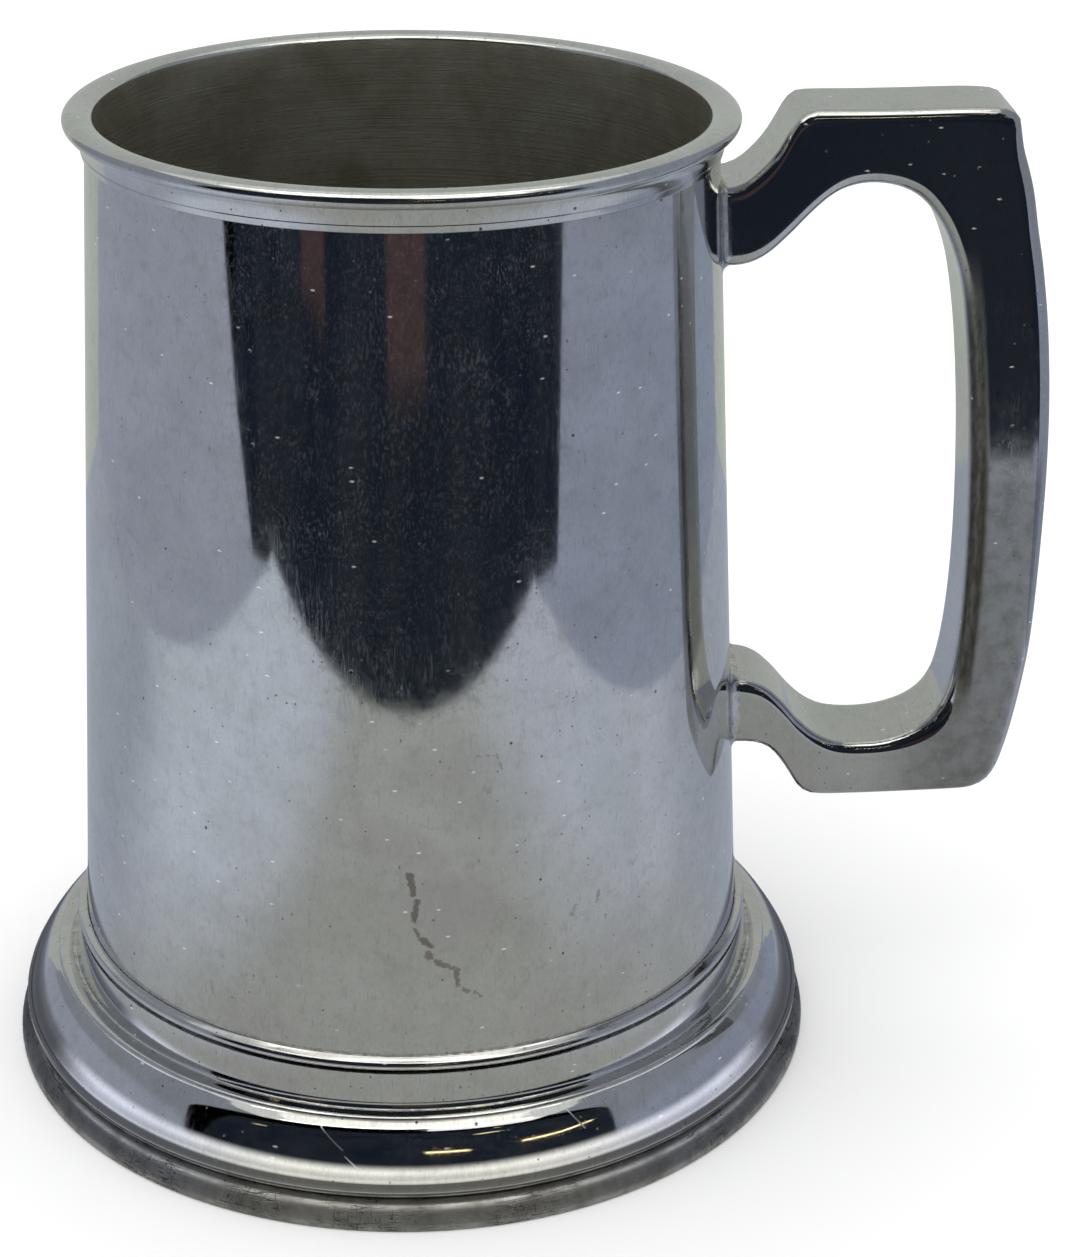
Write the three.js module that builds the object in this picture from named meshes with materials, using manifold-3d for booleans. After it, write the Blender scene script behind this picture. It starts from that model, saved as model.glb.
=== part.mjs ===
// Pewter tankard: a tapered one-pint barrel on a moulded hollow foot, with a
// cast angular handle soldered to one side. Millimetres, +Z up, handle on +X.
import * as THREE from 'three';
import { mergeVertices } from 'three/addons/utils/BufferGeometryUtils.js';
import Module from 'manifold-3d';

const wasm = await Module();
wasm.setup();

// ---- driving dimensions ---------------------------------------------------

const GAP = 0.3;             // joint clearance, filled with solder on the real thing
const SEGMENTS = 64;         // facets round every turned piece

// Barrel
const RIM_HEIGHT = 125;      // table to the top of the lip
const BARREL_TOP_R = 38.0;   // outside radius at the lip moulding
const BARREL_LOW_R = 43.45;  // outside radius at the top of the seam bead
const WALL = 1.3;

// Lip moulding on the mouth
const LIP_OVERHANG = 2.4;    // how far the lip stands out from the barrel
const LIP_HALF_HEIGHT = 0.95;
const MOULDING_HEIGHT = 5.0; // lip, cove and band together
const BAND_PROUD = 0.35;     // band stands this far out from the barrel

// Foot
const FOOT_SPREAD = 9.85;    // resting band's outside, beyond the barrel's low radius
const SEAT_Z = 8.0;          // top of the ledge that carries barrel and floor
const LEDGE_T = 1.3;
const LEDGE_REACH = 4.2;     // ledge length inward from the barrel's outside
const BEAD_TOP_Z = 18.8;
const BEAD_HEIGHT = 2.2;
const BEAD_PROUD = 0.85;
const NECK_LOW_Z = 12.6;     // bottom of the hollowed neck under the bead
const NECK_FLARE = 1.6;      // neck's growth in radius from top to bottom
const STEP_WIDTH = 1.4;      // shelf between the neck and the round moulding
const STEP_DROP = 0.5;
const ROUND_SET_IN = 1.0;    // the round moulding's widest part, in from the resting band
const ROUND_MID_Z = 6.0;
const REST_BAND_H = 3.2;     // height of the resting band
const REST_BAND_W = 3.0;     // its width inward
const SKIRT_T = 1.6;         // metal thickness of the foot

// Drinking floor
const FLOOR_T = 1.5;

// Handle
const HANDLE_W = 13;         // side to side
const EDGE_R = 1.8;          // rounding of its long edges
const GRIP_STANDOFF = 37.75; // back of the grip, beyond the barrel's low radius
const GRIP_T = 10.0;         // depth of the grip bar
const TOP_RISE = 0.0;        // top of the handle over the rim, at its inner end
const TOP_SLOPE = 0.5;       // further rise towards the grip
const UPPER_ROOT_H = 10;     // height of the upper arm where it meets the barrel
const UPPER_ROOT_DROP = 9;   // rim to the top of the upper root
const LOWER_ROOT_H = 9.0;
const LOWER_ROOT_DROP = 74.4; // rim to the top of the lower root
const ARM_DIP = 7.8;         // underside of the handle, below the lower root
const FILLET = 1.1;          // solder fillet round each root

// ---- derived values -------------------------------------------------------

const mouldingZ = RIM_HEIGHT - MOULDING_HEIGHT;
const taper = (BARREL_LOW_R - BARREL_TOP_R) / (mouldingZ - BEAD_TOP_Z);
const barrelR = (z) => BARREL_TOP_R + taper * (mouldingZ - z);
const barrelBottomZ = SEAT_Z + GAP;
const footR = BARREL_LOW_R + FOOT_SPREAD;
const roundR = footR - ROUND_SET_IN;
const neckTopZ = BEAD_TOP_Z - BEAD_HEIGHT;
const neckTopR = barrelR(neckTopZ) + GAP + BEAD_PROUD * 0.75;
const neckLowR = neckTopR + NECK_FLARE;
const stepR = neckLowR + STEP_WIDTH;
const stepZ = NECK_LOW_Z - STEP_DROP;
const roundLowR = footR - REST_BAND_W + GAP;

// ---- helpers --------------------------------------------------------------

// Turned piece from a closed outline of [radius, height] points, listed
// anticlockwise when radius runs right and height runs up.
function turned(outline) {
  const points = outline.map(([r, z]) => new THREE.Vector2(r, z));
  points.push(points[0].clone());
  const geometry = new THREE.LatheGeometry(points, SEGMENTS);
  geometry.rotateX(Math.PI / 2);
  return geometry;
}

// Points along a quarter or part of an ellipse, angles in degrees.
function arc(centreR, centreZ, halfR, halfZ, fromDeg, toDeg, steps) {
  const points = [];
  for (let i = 0; i <= steps; i += 1) {
    const a = THREE.MathUtils.degToRad(fromDeg + ((toDeg - fromDeg) * i) / steps);
    points.push([centreR + halfR * Math.cos(a), centreZ + halfZ * Math.sin(a)]);
  }
  return points;
}

function toSolid(geometry) {
  const bare = geometry.clone();
  bare.deleteAttribute('normal');
  bare.deleteAttribute('uv');
  const welded = mergeVertices(bare, 1e-4);
  return new wasm.Manifold(new wasm.Mesh({
    numProp: 3,
    vertProperties: new Float32Array(welded.attributes.position.array),
    triVerts: new Uint32Array(welded.index.array),
  }));
}

function toGeometry(solid) {
  const mesh = solid.getMesh();
  const geometry = new THREE.BufferGeometry();
  geometry.setAttribute('position', new THREE.BufferAttribute(mesh.vertProperties, 3));
  geometry.setIndex(new THREE.BufferAttribute(mesh.triVerts, 1));
  return geometry;
}

const pewter = (name, color, roughness) => new THREE.MeshStandardMaterial({
  name, color, metalness: 1, roughness,
});
const polished = pewter('polished_pewter', 0xb4b5b8, 0.22);
const worn = pewter('worn_pewter', 0x96979a, 0.4);
const solder = pewter('solder', 0xa9aaa8, 0.32);

const tankard = new THREE.Group();
tankard.name = 'tankard';

function add(name, geometry, material) {
  const flat = geometry.index ? geometry.toNonIndexed() : geometry;
  flat.computeVertexNormals();
  const mesh = new THREE.Mesh(flat, material);
  mesh.name = name;
  tankard.add(mesh);
}

// ---- barrel ---------------------------------------------------------------

add('barrel', turned([
  [barrelR(barrelBottomZ) - WALL, barrelBottomZ],
  [barrelR(barrelBottomZ), barrelBottomZ],
  [barrelR(mouldingZ - GAP), mouldingZ - GAP],
  [barrelR(mouldingZ - GAP) - WALL, mouldingZ - GAP],
]), polished);

// ---- lip moulding ---------------------------------------------------------

const lipOuter = BARREL_TOP_R + LIP_OVERHANG;
const lipInner = BARREL_TOP_R - WALL;
const lipMid = (lipOuter + lipInner) / 2;
const lipHalf = (lipOuter - lipInner) / 2;
const lipZ = RIM_HEIGHT - LIP_HALF_HEIGHT;
const bandR = BARREL_TOP_R + BAND_PROUD;

add('mouth_wire', turned([
  [lipInner, mouldingZ],
  [bandR, mouldingZ],
  [bandR, mouldingZ + 1.6],
  [bandR - 0.25, mouldingZ + 2.1],
  [bandR + 0.1, lipZ - LIP_HALF_HEIGHT - 0.25],
  ...arc(lipMid, lipZ, lipHalf, LIP_HALF_HEIGHT, -50, 180, 9),
]), polished);

// ---- drinking floor -------------------------------------------------------

const floorZ = SEAT_Z + GAP;
const floorR = barrelR(floorZ) - WALL - GAP - taper * FLOOR_T;

add('floor_disc', turned([
  [0, floorZ],
  [floorR, floorZ],
  [floorR, floorZ + FLOOR_T],
  [0, floorZ + FLOOR_T],
]), worn);

// ---- foot -----------------------------------------------------------------

// Round moulding: a long shoulder from the step to the widest radius, then a
// tight turn under to the resting band.
const shoulder = new THREE.CubicBezierCurve(
  new THREE.Vector2(stepR, stepZ),
  new THREE.Vector2(stepR + 0.25 * (roundR - stepR), stepZ - 0.25 * (stepZ - ROUND_MID_Z)),
  new THREE.Vector2(roundR, ROUND_MID_Z + 0.35 * (stepZ - ROUND_MID_Z)),
  new THREE.Vector2(roundR, ROUND_MID_Z),
).getPoints(6).map((p) => [p.x, p.y]);
const turnUnder = arc(
  roundLowR, ROUND_MID_Z, roundR - roundLowR, ROUND_MID_Z - REST_BAND_H - GAP, 0, -90, 3,
);

// Inside face of the skirt, one metal thickness in from the outside.
const skirtInside = [
  [roundLowR - SKIRT_T, REST_BAND_H + GAP],
  [roundLowR - SKIRT_T, ROUND_MID_Z],
  [stepR - SKIRT_T * 0.4, stepZ - SKIRT_T - 0.9],
  [neckLowR - SKIRT_T * 0.9, stepZ - SKIRT_T - 0.3],
];
const ledgeOuterR = barrelR(SEAT_Z) + GAP;
const collarR = (z) => barrelR(z) + GAP;

add('foot_skirt', turned([
  [ledgeOuterR - LEDGE_REACH, SEAT_Z - LEDGE_T],
  [ledgeOuterR + SKIRT_T * 0.6, SEAT_Z - LEDGE_T],
  ...skirtInside.slice().reverse(),
  ...turnUnder.slice().reverse(),
  ...shoulder.slice(0, -1).reverse(),
  [neckLowR, NECK_LOW_Z],
  ...arc(neckLowR, neckTopZ, NECK_FLARE, neckTopZ - NECK_LOW_Z, -105, -172, 3),
  [neckTopR, neckTopZ],
  [collarR(neckTopZ), neckTopZ],
  [collarR(SEAT_Z), SEAT_Z],
  [ledgeOuterR - LEDGE_REACH, SEAT_Z],
]), polished);

const restInnerR = footR - REST_BAND_W;
add('foot_rest_band', turned([
  [restInnerR - SKIRT_T, 0],
  [footR - 0.2, 0],
  [footR, 0.5],
  ...arc(restInnerR + 0.6, 1.2, REST_BAND_W - 0.6, REST_BAND_H - 1.2, 0, 90, 3),
  [restInnerR - SKIRT_T, REST_BAND_H],
]), worn);

const beadR = (z) => barrelR(z) + GAP;
add('seam_bead', turned([
  [beadR(neckTopZ + GAP), neckTopZ + GAP],
  ...arc(
    beadR(neckTopZ + GAP), (neckTopZ + GAP + BEAD_TOP_Z) / 2, BEAD_PROUD,
    (BEAD_TOP_Z - neckTopZ - GAP) / 2, -75, 70, 5,
  ),
  [beadR(BEAD_TOP_Z), BEAD_TOP_Z],
]), polished);

// ---- handle ---------------------------------------------------------------

const upperRootTop = RIM_HEIGHT - UPPER_ROOT_DROP;
const upperRootLow = upperRootTop - UPPER_ROOT_H;
const lowerRootTop = RIM_HEIGHT - LOWER_ROOT_DROP;
const lowerRootLow = lowerRootTop - LOWER_ROOT_H;
const topZ = RIM_HEIGHT + TOP_RISE;
const baseZ = lowerRootLow - ARM_DIP;
const gripReach = BARREL_LOW_R + GRIP_STANDOFF;
const rootStart = BARREL_TOP_R - 3;
const upperR = barrelR(upperRootLow);
const lowerR = barrelR(lowerRootLow);

const outline = new THREE.Shape();
// outer side: up the upper arm, along the top, down the grip, back underneath
outline.moveTo(rootStart, upperRootTop);
outline.lineTo(upperR + 1.6, upperRootTop);
outline.quadraticCurveTo(upperR + 4.0, upperRootTop + 1.0, upperR + 5.2, topZ - 6.2);
outline.lineTo(upperR + 7.9, topZ - 1.4);
outline.quadraticCurveTo(upperR + 8.6, topZ, upperR + 10.2, topZ);
outline.lineTo(gripReach - 10.4, topZ + TOP_SLOPE);
outline.quadraticCurveTo(
  gripReach - 9.0, topZ + TOP_SLOPE, gripReach - 8.4, topZ + TOP_SLOPE - 1.4,
);
outline.bezierCurveTo(
  gripReach - 1.2, topZ - 25, gripReach + 2.4, topZ - 58,
  gripReach - 3.4, baseZ + 4.0,
);
outline.quadraticCurveTo(gripReach - 4.2, baseZ + 0.8, gripReach - 7.4, baseZ + 0.4);
outline.lineTo(lowerR + 12.0, baseZ);
outline.quadraticCurveTo(lowerR + 10.2, baseZ, lowerR + 9.2, baseZ + 1.4);
outline.lineTo(lowerR + 7.2, baseZ + 4.4);
outline.quadraticCurveTo(lowerR + 5.0, lowerRootLow, lowerR + 1.8, lowerRootLow);
outline.lineTo(rootStart, lowerRootLow);
// inner side: out over the lower arm, up the grip, down under the upper arm
outline.lineTo(rootStart, lowerRootTop);
outline.lineTo(lowerR + 1.2, lowerRootTop);
outline.quadraticCurveTo(lowerR + 5.2, lowerRootTop - 0.4, lowerR + 8.6, baseZ + 11.2);
outline.bezierCurveTo(
  lowerR + 13.0, baseZ + 6.6, lowerR + 22.0, baseZ + 3.8,
  gripReach - GRIP_T - 2.8, baseZ + 11.6,
);
outline.bezierCurveTo(
  gripReach - GRIP_T + 1.4, baseZ + 21, gripReach - GRIP_T - 0.4, topZ - 43,
  gripReach - GRIP_T - 2.2, topZ - 25.5,
);
outline.bezierCurveTo(
  gripReach - GRIP_T - 4.2, topZ - 7.5, gripReach - GRIP_T - 12.5, topZ - 4.8,
  upperR + 11.4, topZ - 10.4,
);
outline.quadraticCurveTo(upperR + 6.0, upperRootLow + 0.4, upperR + 1.8, upperRootLow);
outline.lineTo(rootStart, upperRootLow);
outline.closePath();

const handleBlank = new THREE.ExtrudeGeometry(outline, {
  depth: HANDLE_W - 2 * EDGE_R,
  curveSegments: 7,
  bevelEnabled: true,
  bevelThickness: EDGE_R,
  bevelSize: EDGE_R,
  bevelOffset: -EDGE_R,
  bevelSegments: 3,
});
handleBlank.translate(0, 0, -(HANDLE_W / 2 - EDGE_R));
handleBlank.rotateX(Math.PI / 2);

// The barrel with clearance added, to cut the roots to its taper.
const clearance = turned([
  [0, SEAT_Z],
  [barrelR(SEAT_Z) + GAP, SEAT_Z],
  [barrelR(RIM_HEIGHT) + GAP, RIM_HEIGHT],
  [0, RIM_HEIGHT],
]);
const barrelCutter = toSolid(clearance);

add('handle', toGeometry(toSolid(handleBlank).subtract(barrelCutter)), polished);

// ---- solder fillets -------------------------------------------------------

// Rounded-rectangle loop across the handle, grown by `grow`, at radius x.
function loop(x, lowZ, highZ, grow) {
  const halfY = HANDLE_W / 2 + grow;
  const corner = EDGE_R + grow;
  const points = [];
  for (let side = 0; side < 4; side += 1) {
    const cy = (side === 0 || side === 3 ? 1 : -1) * (halfY - corner);
    const cz = side < 2 ? highZ + grow - corner : lowZ - grow + corner;
    for (let step = 0; step <= 3; step += 1) {
      const a = (Math.PI / 2) * (side + step / 3);
      points.push(new THREE.Vector3(x, cy + corner * Math.cos(a), cz + corner * Math.sin(a)));
    }
  }
  return points;
}

// Wedge-shaped collar filling the corner between a root and the barrel.
function fillet(lowZ, highZ) {
  const near = barrelR(highZ) - 1.2;
  const face = barrelR(lowZ) + GAP + FILLET;
  const loops = [
    loop(near, lowZ, highZ, GAP),
    loop(near, lowZ, highZ, GAP + FILLET + 0.9),
    loop(barrelR((lowZ + highZ) / 2) + GAP, lowZ, highZ, GAP + FILLET * 0.7),
    loop(face, lowZ, highZ, GAP + 0.25),
    loop(face, lowZ, highZ, GAP),
  ];
  const positions = [];
  const index = [];
  const count = loops[0].length;
  loops.forEach((ring) => ring.forEach((p) => positions.push(p.x, p.y, p.z)));
  for (let ring = 0; ring < loops.length; ring += 1) {
    const next = (ring + 1) % loops.length;
    for (let i = 0; i < count; i += 1) {
      const j = (i + 1) % count;
      const a = ring * count + i;
      const b = ring * count + j;
      const c = next * count + j;
      const d = next * count + i;
      index.push(a, b, c, a, c, d);
    }
  }
  const geometry = new THREE.BufferGeometry();
  geometry.setAttribute('position', new THREE.Float32BufferAttribute(positions, 3));
  geometry.setIndex(index);
  return toGeometry(toSolid(geometry).subtract(barrelCutter));
}

add('upper_solder_fillet', fillet(upperRootLow, upperRootTop), solder);
add('lower_solder_fillet', fillet(lowerRootLow, lowerRootTop), solder);

// ---- place ----------------------------------------------------------------

// Centre of the whole footprint on the origin, resting face on z = 0.
const extent = new THREE.Box3().setFromObject(tankard);
tankard.position.x = -(extent.min.x + extent.max.x) / 2;
const part = new THREE.Group();
part.name = 'pewter_tankard';
part.add(tankard);
part.updateMatrixWorld(true);

export default part;
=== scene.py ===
# A one-pint pewter tankard: turned barrel, lip and moulded foot, cast handle soldered to one side.
# Every piece is drawn in millimetres from the barrel's axis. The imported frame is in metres.
import math

import bpy
from mathutils import Matrix, Vector


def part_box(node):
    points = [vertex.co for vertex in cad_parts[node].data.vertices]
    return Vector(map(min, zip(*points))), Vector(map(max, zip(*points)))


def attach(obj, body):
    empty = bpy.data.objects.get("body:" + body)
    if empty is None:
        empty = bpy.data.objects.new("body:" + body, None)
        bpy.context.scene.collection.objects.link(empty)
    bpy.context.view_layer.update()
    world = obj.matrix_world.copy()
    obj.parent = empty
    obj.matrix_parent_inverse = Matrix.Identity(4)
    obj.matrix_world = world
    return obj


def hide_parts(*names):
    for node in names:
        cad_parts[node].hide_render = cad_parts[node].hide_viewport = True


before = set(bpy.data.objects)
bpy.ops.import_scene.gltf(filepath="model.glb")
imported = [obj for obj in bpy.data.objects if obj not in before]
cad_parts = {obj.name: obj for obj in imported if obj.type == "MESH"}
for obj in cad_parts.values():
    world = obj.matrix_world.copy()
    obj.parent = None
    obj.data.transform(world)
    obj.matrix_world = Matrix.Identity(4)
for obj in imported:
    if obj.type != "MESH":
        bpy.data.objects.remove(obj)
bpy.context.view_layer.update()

MM = 0.001

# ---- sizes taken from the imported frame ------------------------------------

barrel_low, barrel_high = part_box("barrel")
# The barrel's axis stands this far from the middle of the whole piece.
AXIS_X = (barrel_low[0] + barrel_high[0]) / 2 / MM
_, lip_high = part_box("mouth_wire")
RIM_Z = round(lip_high[2] / MM, 1)

# ---- sizes of the turned pieces, radius and height from the table ----------

TURNS = 192                 # sides round a turned piece
SMOOTH_BELOW = 32           # faces that meet at less than this many degrees are shaded as one
SEAM = 0.06                 # hairline left between soldered pieces
BAND_Z = RIM_Z - 5.0        # bottom of the band under the lip
BARREL_TOP_R = 38.0
TAPER = 5.45 / 101.2        # growth in radius per millimetre down the barrel
WALL = 1.3
BARREL_LOW_Z = 8.06         # lower edge of the barrel and underside of the drinking floor
FLOOR_TOP_Z = 9.8
FLOOR_COVE = 3.0            # radius of the corner between floor and wall
BEAD_LOW_Z = 16.7
BEAD_TOP_Z = 18.8
BEAD_NOSE = 0.62            # radius of the bead's nose
LIP_MID_R, LIP_HALF_W, LIP_HALF_H = 38.55, 1.85, 0.95
LIP_MID_Z = RIM_Z - LIP_HALF_H
LIP_UNDER = 1.25            # half height of the roll below its middle

# ---- sizes of the handle ----------------------------------------------------

HANDLE_W = 13.0             # side to side
EDGE_ROUND = 2.7            # widest rounding of the long edges
ROUND_PROFILE = 0.62        # fullness of that rounding
ROUND_STEPS = 6
UPPER_ROOT = (106.15, 115.8)    # bottom and top of each root on the barrel
LOWER_ROOT = (41.7, 50.7)
COVE = 1.25                 # radius of the solder cove round each root
COVE_STEPS = 7
COVE_SINK = 0.12            # how far the solder goes into the barrel wall
COVE_INNER = -0.25          # how far it goes into the root
COLLAR_CORNER = 1.6         # radius of the collar's four corners
CORNER_STEPS = 8

# ---- view -------------------------------------------------------------------

CAMERA_PLACE = (0.0, -325.0, 205.1)     # from the axis, millimetres
CAMERA_LENS, CAMERA_SENSOR = 78.83, 36
CAMERA_PITCH, CAMERA_YAW, CAMERA_ROLL = 24.676, 2.905, -0.528


def barrel_r(z):
    """Outside radius of the tapered barrel at height z."""
    return BARREL_TOP_R + TAPER * (BAND_Z - z)


# ---- drawing helpers ----------------------------------------------------------

def arc(mid_r, mid_z, half_r, half_z, start, stop, steps):
    """Points along part of an ellipse, angles in degrees."""
    turn = [math.radians(start + (stop - start) * i / steps) for i in range(steps + 1)]
    return [(mid_r + half_r * math.cos(a), mid_z + half_z * math.sin(a)) for a in turn]


def bezier(a, b, c, d, steps):
    """Points along a curve with four control points."""
    out = []
    for i in range(steps + 1):
        t = i / steps
        s = 1 - t
        out.append(tuple(s ** 3 * a[k] + 3 * s * s * t * b[k] + 3 * s * t * t * c[k] + t ** 3 * d[k]
                         for k in range(2)))
    return out


def smooth_line(points, steps):
    """A smooth line through the points, steps per span."""
    out = []
    for i in range(len(points) - 1):
        p0 = points[max(i - 1, 0)]
        p1, p2 = points[i], points[i + 1]
        p3 = points[min(i + 2, len(points) - 1)]
        for j in range(steps):
            t = j / steps
            out.append(tuple(
                0.5 * (2 * p1[k] + (p2[k] - p0[k]) * t
                       + (2 * p0[k] - 5 * p1[k] + 4 * p2[k] - p3[k]) * t * t
                       + (3 * p1[k] - p0[k] - 3 * p2[k] + p3[k]) * t ** 3) for k in range(2)))
    out.append(tuple(points[-1]))
    return out


def evenly(points, count):
    """The same line with count points at even distances."""
    lengths = [0.0]
    for a, b in zip(points, points[1:]):
        lengths.append(lengths[-1] + math.dist(a, b))
    out, k = [], 0
    for i in range(count):
        want = lengths[-1] * i / (count - 1)
        while k < len(points) - 2 and lengths[k + 1] < want:
            k += 1
        span = lengths[k + 1] - lengths[k] or 1.0
        t = (want - lengths[k]) / span
        out.append(tuple(points[k][j] + (points[k + 1][j] - points[k][j]) * t for j in range(2)))
    return out


def deselect_all():
    if bpy.context.object and bpy.context.object.mode != "OBJECT":
        bpy.ops.object.mode_set(mode="OBJECT")
    bpy.ops.object.select_all(action="DESELECT")


def start_point(name, place):
    """A new object whose mesh is one point at place, in edit mode."""
    deselect_all()
    bpy.ops.mesh.primitive_plane_add(size=MM, location=(0, 0, 0))
    piece = bpy.context.object
    piece.name = piece.data.name = name
    bpy.ops.object.mode_set(mode="EDIT")
    bpy.ops.mesh.select_all(action="SELECT")
    bpy.ops.mesh.merge(type="CENTER")
    bpy.ops.transform.translate(value=place)
    return piece


def another_point(place):
    """One more point in the mesh in hand, selected alone."""
    bpy.ops.mesh.select_all(action="DESELECT")
    bpy.ops.mesh.primitive_plane_add(size=MM, location=(0, 0, 0))
    bpy.ops.mesh.merge(type="CENTER")
    bpy.ops.transform.translate(value=place)


def draw_on(move):
    """Extrudes what is selected by a move."""
    bpy.ops.mesh.extrude_region_move(TRANSFORM_OT_translate={"value": move})


def draw_through(places):
    """Extrudes the selected point from the first place through all the others."""
    for here, there in zip(places, places[1:]):
        draw_on(there - here)


def pick_points(piece, numbers):
    """Selects only the points with these numbers, in edit mode."""
    bpy.ops.mesh.select_all(action="DESELECT")
    bpy.ops.object.mode_set(mode="OBJECT")
    for number in numbers:
        piece.data.vertices[number].select = True
    bpy.ops.object.mode_set(mode="EDIT")


def spot(r, z, y=0.0):
    """A place in the frame, from its distance to the axis, height and depth."""
    return Vector(((AXIS_X + r) * MM, y * MM, z * MM))


def turned(name, outline, closed=True):
    """A piece turned about the barrel's axis from an outline of (radius, height)."""
    places = [spot(r, z) for r, z in outline]
    piece = start_point(name, places[0])
    draw_through(places)
    if closed:
        pick_points(piece, (0, len(places) - 1))
        bpy.ops.mesh.edge_face_add()
    bpy.ops.mesh.select_all(action="SELECT")
    bpy.ops.mesh.spin(steps=TURNS, angle=2 * math.pi, center=(AXIS_X * MM, 0, 0), axis=(0, 0, 1))
    close_up()
    return piece


def close_up():
    """Merges doubled points, turns every face outwards and leaves edit mode."""
    bpy.ops.mesh.select_all(action="SELECT")
    bpy.ops.mesh.remove_doubles(threshold=1e-6)
    bpy.ops.mesh.normals_make_consistent(inside=False)
    bpy.ops.object.mode_set(mode="OBJECT")


def pick_piece(piece):
    deselect_all()
    piece.select_set(True)
    bpy.context.view_layer.objects.active = piece


# ---- turned pieces -------------------------------------------------------------

def make_barrel():
    low, high = BARREL_LOW_Z, BAND_Z - SEAM
    heights = [low + (high - low) * i / 12 for i in range(13)]
    outside = [(barrel_r(z), z) for z in heights]
    inside = [(r - WALL, z) for r, z in reversed(outside)]
    inside[0] = (BARREL_TOP_R - WALL, BAND_Z)
    return turned("barrel_shell", outside + inside)


# Flare under the lip: how far it stands out from the barrel's top, height above the band's bottom.
LIP_FLARE = ((0.5, 0.85), (0.45, 0.95), (0.58, 1.4), (0.72, 1.85), (0.9, 2.3), (1.1, 2.65),
             (1.3, 2.9))


def make_lip():
    """Flared band under the lip, then the rolled lip."""
    outline = [(BARREL_TOP_R - WALL, BAND_Z), (BARREL_TOP_R + 0.1, BAND_Z + 0.02)]
    outline += arc(BARREL_TOP_R + 0.17, BAND_Z + 0.2, 0.17, 0.17, -75, -8, 4)
    outline += [(BARREL_TOP_R + flare, BAND_Z + lift) for flare, lift in LIP_FLARE]
    outline += arc(LIP_MID_R, LIP_MID_Z, LIP_HALF_W, LIP_UNDER, -66, 0, 10)[:-1]
    outline += arc(LIP_MID_R, LIP_MID_Z, LIP_HALF_W, LIP_HALF_H, 0, 178, 24)
    outline += [(BARREL_TOP_R - WALL, BAND_Z + 2.5)]
    return turned("rolled_lip", outline)


def make_floor():
    wall_r = barrel_r(FLOOR_TOP_Z + FLOOR_COVE) - WALL - SEAM
    low_r = barrel_r(BARREL_LOW_Z) - WALL - 0.25
    outline = [(0.0, BARREL_LOW_Z), (low_r, BARREL_LOW_Z), (wall_r, FLOOR_TOP_Z + FLOOR_COVE)]
    cove = arc(wall_r - FLOOR_COVE, FLOOR_TOP_Z + FLOOR_COVE, FLOOR_COVE, FLOOR_COVE, 0, -90, 8)[1:]
    outline += cove + [(24.0, FLOOR_TOP_Z), (8.0, FLOOR_TOP_Z), (0.0, FLOOR_TOP_Z)]
    return turned("drinking_floor", outline, closed=False)


def make_bead():
    """Seam bead: a broad sloping top and a tight nose."""
    low, high = BEAD_LOW_Z, BEAD_TOP_Z
    start = barrel_r(high) + SEAM
    outline = [(barrel_r(low) + SEAM, low)]
    outline += arc(start + BEAD_NOSE, 17.88, BEAD_NOSE, BEAD_NOSE, -75, 70, 16)
    outline += [(start + 0.32, high - 0.2), (start + 0.08, high - 0.06), (start, high - 0.1)]
    return turned("bead_ring", outline)


def foot_outline():
    """From the top: neck, narrow shelf, rounded step and the large moulding."""
    neck_top, neck_low = 16.95, 12.6
    shoulder = [(47.62, 12.12), (47.95, 11.95), (48.85, 11.4), (49.65, 10.55), (50.5, 9.4),
                (51.35, 8.05), (51.95, 6.95), (52.22, 6.1)]
    outside = [(44.6, neck_top), (44.7, 16.5), (44.88, 15.3), (45.06, 14.1), (45.2, 13.2),
               (45.28, neck_low + 0.1)]
    outside += [(45.4, neck_low - 0.1), (45.62, neck_low - 0.17), (45.88, neck_low - 0.12),
                (46.08, neck_low)]
    outside += arc(46.9, 12.32, 0.75, 0.36, 115, 5, 8)
    outside += smooth_line(shoulder, 4)[1:]
    outside += arc(50.6, 5.7, 1.64, 2.2, 10, -88, 12)
    return outside


def make_foot():
    outline = [(barrel_r(16.6) + SEAM, 16.65), (44.3, 16.65)] + foot_outline()
    outline += [(48.9, 3.5), (48.9, 6.0), (46.9, 9.3), (44.9, 10.2), (45.3, 6.7), (40.1, 6.7),
                (40.1, 8.0), (barrel_r(8.0) + SEAM, 8.0)]
    return turned("moulded_foot", outline)


def make_rest_band():
    outline = [(48.7, 0.12), (49.2, 0.0), (52.9, 0.0)]
    outline += arc(52.9, 0.35, 0.35, 0.35, -70, 0, 4)
    outline += bezier((53.28, 0.7), (53.28, 1.5), (53.1, 2.2), (52.3, 2.9), 8)
    outline += bezier((52.1, 3.05), (51.6, 3.3), (51.2, 3.4), (50.4, 3.42), 5)
    outline += [(48.7, 3.42)]
    return turned("resting_band", outline)


# ---- handle ---------------------------------------------------------------------

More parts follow.
